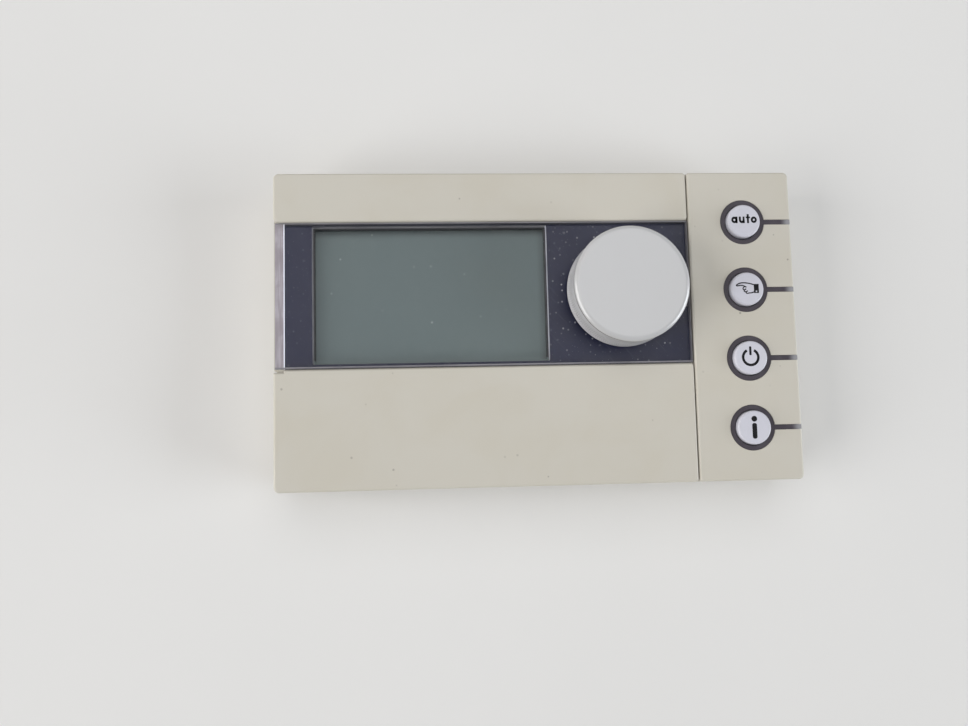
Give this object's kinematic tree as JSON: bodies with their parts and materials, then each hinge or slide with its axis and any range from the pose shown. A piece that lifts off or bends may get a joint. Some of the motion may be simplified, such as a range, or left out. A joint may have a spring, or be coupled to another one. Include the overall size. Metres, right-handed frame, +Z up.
{
  "type": "room temperature controller",
  "caption": "Flat wall-mounted room temperature controller with a blank display, a proud round setting knob, a column of round buttons and a hinged flap over service keys.",
  "frame": {"origin": "centre of the wall plate's back face, midway between its two screw slots", "axes": "+X to the right as seen from the room, +Y into the wall, +Z up; the front faces -Y"},
  "size_m": [0.15, 0.032, 0.09],
  "materials": {
    "cream_shell": "fine moulded satin",
    "knob_grey": "satin",
    "cap_white": "satin",
    "key_grey": "satin",
    "smoke_guide": "translucent smoke grey",
    "clear_window": "clear acrylic, polished",
    "dark_mask": "printed blue-grey sheet",
    "display_glass": "grey-green display, blank",
    "white_diffuser": "white, matt",
    "black_plastic": "black, matt",
    "board_green": "green solder mask",
    "soft_rubber": "layered elastomer",
    "steel": "plated steel",
    "brass_parts": "plain brass",
    "terminal_grey": "grey, matt"
  },
  "bodies": {
    "casing": {"front_housing": "cream_shell", "top_trim": "cream_shell", "button_panel": "cream_shell", "rear_housing": "cream_shell", "wall_plate": "cream_shell", "light_guide": "smoke_guide", "display_window": "clear_window", "display_mask": "dark_mask", "lcd_bezel": "black_plastic", "lcd_cell": "display_glass", "lcd_holder": "white_diffuser", "lcd_connectors": "soft_rubber", "circuit_board": "board_green", "board_screws": "steel", "key_switches": "steel", "indicator_leds": "white_diffuser", "controller_chip": "black_plastic", "reserve_capacitor": "steel", "temperature_sensor": "black_plastic", "encoder_body": "steel", "bus_pins": "brass_parts", "terminal_block": "terminal_grey", "terminal_clamps": "brass_parts", "terminal_screws": "steel"},
    "knob": {"setting_knob": "knob_grey", "encoder_shaft": "brass_parts"},
    "flap": {"control_flap": "cream_shell"},
    "auto_press": {"auto_button": "cap_white"},
    "manual_press": {"manual_button": "cap_white"},
    "standby_press": {"standby_button": "cap_white"},
    "info_press": {"info_button": "cap_white"},
    "service_key_1_press": {"service_key_1": "key_grey"},
    "service_key_2_press": {"service_key_2": "key_grey"},
    "service_key_3_press": {"service_key_3": "key_grey"},
    "service_key_4_press": {"service_key_4": "key_grey"},
    "service_key_5_press": {"service_key_5": "key_grey"},
    "service_key_6_press": {"service_key_6": "key_grey"},
    "service_key_7_press": {"service_key_7": "key_grey"}
  },
  "joints": [
    {"name": "knob_turn", "type": "hinge", "parent": "casing", "child": "knob", "pos_m": [0.02443, -0.026, 0.01025], "axis": [0, 1, 0], "continuous": true},
    {"name": "flap_hinge", "type": "hinge", "parent": "casing", "child": "flap", "pos_m": [-0.0153, -0.01585, -0.0435], "axis": [1, 0, 0], "range_deg": [0, 115]},
    {"name": "auto_press_slide", "type": "slide", "parent": "casing", "child": "auto_press", "axis": [0, 1, 0], "range_m": [0, 0.0005], "stiffness_N_per_m": 2000},
    {"name": "manual_press_slide", "type": "slide", "parent": "casing", "child": "manual_press", "axis": [0, 1, 0], "range_m": [0, 0.0005], "stiffness_N_per_m": 2000},
    {"name": "standby_press_slide", "type": "slide", "parent": "casing", "child": "standby_press", "axis": [0, 1, 0], "range_m": [0, 0.0005], "stiffness_N_per_m": 2000},
    {"name": "info_press_slide", "type": "slide", "parent": "casing", "child": "info_press", "axis": [0, 1, 0], "range_m": [0, 0.0005], "stiffness_N_per_m": 2000},
    {"name": "service_key_1_press_slide", "type": "slide", "parent": "casing", "child": "service_key_1_press", "axis": [0, 1, 0], "range_m": [0, 0.0005], "stiffness_N_per_m": 2000},
    {"name": "service_key_2_press_slide", "type": "slide", "parent": "casing", "child": "service_key_2_press", "axis": [0, 1, 0], "range_m": [0, 0.0005], "stiffness_N_per_m": 2000},
    {"name": "service_key_3_press_slide", "type": "slide", "parent": "casing", "child": "service_key_3_press", "axis": [0, 1, 0], "range_m": [0, 0.0005], "stiffness_N_per_m": 2000},
    {"name": "service_key_4_press_slide", "type": "slide", "parent": "casing", "child": "service_key_4_press", "axis": [0, 1, 0], "range_m": [0, 0.0005], "stiffness_N_per_m": 2000},
    {"name": "service_key_5_press_slide", "type": "slide", "parent": "casing", "child": "service_key_5_press", "axis": [0, 1, 0], "range_m": [0, 0.0005], "stiffness_N_per_m": 2000},
    {"name": "service_key_6_press_slide", "type": "slide", "parent": "casing", "child": "service_key_6_press", "axis": [0, 1, 0], "range_m": [0, 0.0005], "stiffness_N_per_m": 2000},
    {"name": "service_key_7_press_slide", "type": "slide", "parent": "casing", "child": "service_key_7_press", "axis": [0, 1, 0], "range_m": [0, 0.0005], "stiffness_N_per_m": 2000}
  ]
}
